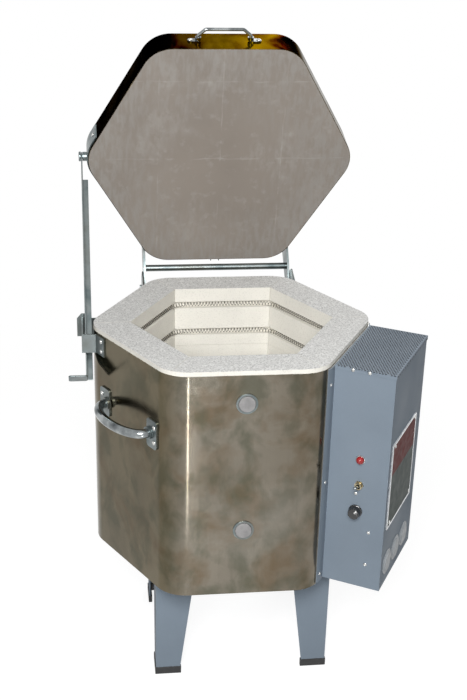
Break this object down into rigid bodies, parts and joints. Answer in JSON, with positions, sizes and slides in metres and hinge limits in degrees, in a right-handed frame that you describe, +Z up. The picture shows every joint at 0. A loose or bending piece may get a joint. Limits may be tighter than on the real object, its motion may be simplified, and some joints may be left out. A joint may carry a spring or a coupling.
{
  "type": "test kiln",
  "caption": "Small hexagonal electric test kiln on legs, with a hinged propped lid, peepholes, lifting handles and a side control box.",
  "frame": {"origin": "middle of the bounding box's bottom, on the floor", "axes": "+Z up, -Y towards the front flat of the hexagon, +X to the user's right where the box is"},
  "size_m": [0.6224, 0.5894, 1.1228],
  "materials": {
    "stainless": "rolled, softly reflecting",
    "polished_band": "polished stainless sheet",
    "firebrick": "porous insulating firebrick",
    "base_board": "pressed fibre board",
    "heating_wire": "oxidised resistance wire",
    "porcelain": "glazed",
    "plug_ceramic": "unglazed",
    "grey_paint": "satin blue-grey paint",
    "galvanised": "galvanised",
    "zinc_plate": "bright zinc",
    "screw_steel": "zinc plated",
    "chrome_tube": "chromed",
    "foot_plastic": "moulded",
    "knob_plastic": "glossy, white pointer",
    "switch_steel": "plated",
    "switch_plastic": "moulded",
    "brass": "turned, with a plastic body behind the panel",
    "red_lens": "translucent red",
    "plate_print": "printed plate without lettering",
    "grey_plastic": "moulded",
    "wire_cover": "woven glass sleeve"
  },
  "bodies": {
    "kiln": {"base_board": "base_board", "base_pan": "galvanised", "body_handle_left": "chrome_tube", "body_handle_right": "chrome_tube", "box_back_plate": "galvanised", "box_cover": "grey_paint", "box_screws": "screw_steel", "box_top_grille": "grey_paint", "brick_row_bottom": "firebrick", "brick_row_middle": "firebrick", "brick_row_top": "firebrick", "cord_gland": "switch_plastic", "element_bushes": "porcelain", "element_studs": "heating_wire", "elements_bottom": "heating_wire", "elements_middle": "heating_wire", "elements_top": "heating_wire", "floor_slab": "firebrick", "foot_cap_front_left": "foot_plastic", "foot_cap_front_right": "foot_plastic", "foot_cap_rear_left": "foot_plastic", "foot_cap_rear_right": "foot_plastic", "handle_brackets": "zinc_plate", "hinge_ear_left": "zinc_plate", "hinge_ear_right": "zinc_plate", "hinge_pins": "zinc_plate", "hole_plugs": "grey_plastic", "jacket": "stainless", "jacket_screws": "screw_steel", "jacket_seam_strip": "stainless", "leg_bolts": "screw_steel", "leg_front_left": "grey_paint", "leg_front_right": "grey_paint", "leg_rear_left": "grey_paint", "leg_rear_right": "grey_paint", "peephole_eyelets": "stainless", "pilot_lamp": "red_lens", "prop_guide": "zinc_plate", "rating_plate": "plate_print", "relay": "switch_plastic", "rotary_switch": "switch_plastic", "terminal_block": "switch_plastic", "toggle_switch": "brass", "wiring": "wire_cover"},
    "lid": {"lid_slab": "firebrick", "lid_band": "polished_band", "lid_band_clamp": "zinc_plate", "lid_handle": "chrome_tube", "lid_screws": "screw_steel", "hinge_arm_left": "zinc_plate", "hinge_arm_right": "zinc_plate", "hinge_cross_rod": "zinc_plate", "prop_strap": "zinc_plate", "prop_pin": "zinc_plate"},
    "prop": {"prop_bar": "zinc_plate"},
    "toggle": {"toggle_lever": "switch_steel"},
    "selector": {"knob": "knob_plastic", "switch_shaft": "switch_steel"},
    "plug_upper": {"peephole_plug_upper": "plug_ceramic"},
    "plug_lower": {"peephole_plug_lower": "plug_ceramic"}
  },
  "joints": [
    {"name": "lid_hinge", "type": "hinge", "parent": "kiln", "child": "lid", "pos_m": [-0.02321, 0.20493, 0.615], "axis": [-1, 0, 0], "range_deg": [-75.8, 0]},
    {"name": "prop_pivot", "type": "hinge", "parent": "lid", "child": "prop", "pos_m": [-0.27721, 0.20855, 0.87792], "axis": [-1, 0, 0], "range_deg": [0, 29.58]},
    {"name": "toggle_flip", "type": "hinge", "parent": "kiln", "child": "toggle", "pos_m": [0.17122, -0.2719, 0.4314], "axis": [0.866, -0.5, 0], "range_deg": [0, 30]},
    {"name": "selector_turn", "type": "hinge", "parent": "kiln", "child": "selector", "pos_m": [0.1668, -0.27397, 0.3805], "axis": [-0.5, -0.866, 0], "range_deg": [-98, 172]},
    {"name": "plug_upper_pull", "type": "slide", "parent": "kiln", "child": "plug_upper", "axis": [0, -1, 0], "range_m": [0, 0.06]},
    {"name": "plug_lower_pull", "type": "slide", "parent": "kiln", "child": "plug_lower", "axis": [0, -1, 0], "range_m": [0, 0.06]}
  ],
  "couplings": [
    {"joint": "prop_pivot", "follows": "lid_hinge", "ratio": -0.38953}
  ]
}
